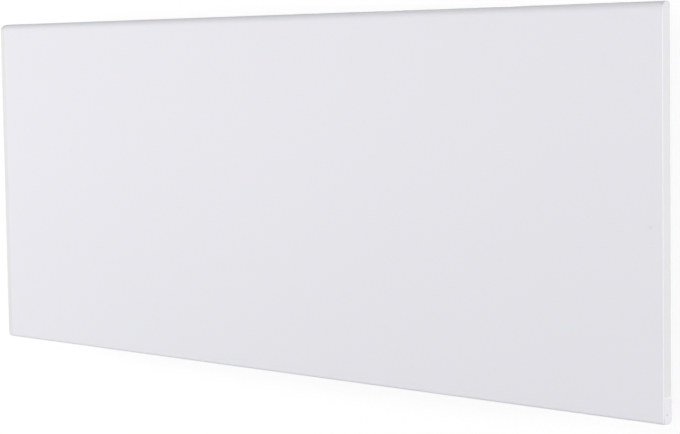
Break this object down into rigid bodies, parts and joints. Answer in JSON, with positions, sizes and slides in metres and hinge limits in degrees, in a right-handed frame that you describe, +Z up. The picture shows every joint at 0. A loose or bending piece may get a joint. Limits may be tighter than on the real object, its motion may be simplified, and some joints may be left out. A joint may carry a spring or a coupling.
{
  "type": "wall convector heater",
  "caption": "Slim electric wall convector: flat white front with end caps, louvred rear casing with a finned element, control unit at its end, and a hook-on wall bracket.",
  "frame": {"origin": "middle of the wall bracket's four screw holes, on the wall", "axes": "+X to the right as seen from the front, along the heater's length; +Y into the wall; +Z up"},
  "size_m": [0.8466, 0.084, 0.33],
  "materials": {
    "white_steel": "satin powder coat",
    "key_plastic": "moulded, toned to the front",
    "white_plastic": "fine moulded grain",
    "clear_plastic": "smoked light pipe",
    "frosted_plastic": "frosted light pipe",
    "black_plastic": "fine moulded grain",
    "board": "solder mask",
    "galvanised_steel": "galvanised, spangled",
    "bracket_steel": "galvanised, spangled",
    "rod_steel": "heat-darkened stainless",
    "fin_aluminium": "mill finish",
    "ceramic": "unglazed",
    "brass": "bright",
    "phenolic": "moulded phenolic",
    "grey_plastic": "fine moulded grain",
    "zinc": "bright zinc",
    "silicone": "matt silicone",
    "white_silicone": "matt silicone",
    "brown_jacket": "smooth insulation",
    "earth_jacket": "smooth insulation",
    "grey_jacket": "smooth jacket",
    "grey_rubber": "soft bumper"
  },
  "bodies": {
    "wall_bracket": {"bracket_leg_left": "bracket_steel", "bracket_leg_right": "bracket_steel", "bracket_top_rail": "bracket_steel", "bracket_bottom_rail": "bracket_steel", "bracket_rivets": "zinc"},
    "heater": {"front_panel": "white_steel", "rear_casing": "white_steel", "casing_end_left": "white_steel", "casing_end_right": "white_steel", "outlet_grille": "white_steel", "inlet_grille": "white_steel", "left_end_cap": "white_plastic", "right_end_cap": "white_plastic", "control_fascia": "white_plastic", "status_lens": "frosted_plastic", "key_switch": "black_plastic", "rocker_frame": "black_plastic", "air_sensor": "black_plastic", "signal_board": "board", "control_board": "board", "panel_stiffeners": "galvanised_steel", "heat_shield": "galvanised_steel", "rear_baffle": "galvanised_steel", "element_bracket_left": "galvanised_steel", "element_bracket_right": "galvanised_steel", "cutout_bracket": "galvanised_steel", "element_sheath": "rod_steel", "element_fins": "fin_aluminium", "element_bushes": "ceramic", "element_insulators": "ceramic", "element_pins": "brass", "earth_screw": "brass", "thermal_cutout": "phenolic", "thermostat_body": "phenolic", "control_box": "grey_plastic", "cable_gland": "grey_plastic", "terminal_block": "grey_plastic", "casing_screws": "zinc", "fascia_screws": "zinc", "bracket_screws": "zinc", "lead_grommet": "silicone", "heating_leads": "white_silicone", "mains_leads": "brown_jacket", "earth_lead": "earth_jacket", "signal_cable": "grey_jacket", "wall_bumpers": "grey_rubber"},
    "knob": {"thermostat_knob": "white_plastic", "thermostat_spindle": "zinc"},
    "switch_rocker": {"rocker": "black_plastic"},
    "key": {"standby_key": "key_plastic", "key_lens": "clear_plastic", "key_plunger": "black_plastic"}
  },
  "joints": [
    {"name": "heater_lift", "type": "slide", "parent": "wall_bracket", "child": "heater", "axis": [0, 0, 1], "range_m": [0, 0.012]},
    {"name": "thermostat_turn", "type": "hinge", "parent": "heater", "child": "knob", "pos_m": [0.38, -0.0452, -0.0588], "axis": [-1, 0, 0], "range_deg": [0, 270]},
    {"name": "rocker_tilt", "type": "hinge", "parent": "heater", "child": "switch_rocker", "pos_m": [0.3768, -0.0452, -0.1048], "axis": [0, 1, 0], "range_deg": [0, 18]},
    {"name": "key_press", "type": "slide", "parent": "heater", "child": "key", "axis": [-1, 0, 0], "range_m": [0, 0.0008], "stiffness_N_per_m": 1500}
  ]
}
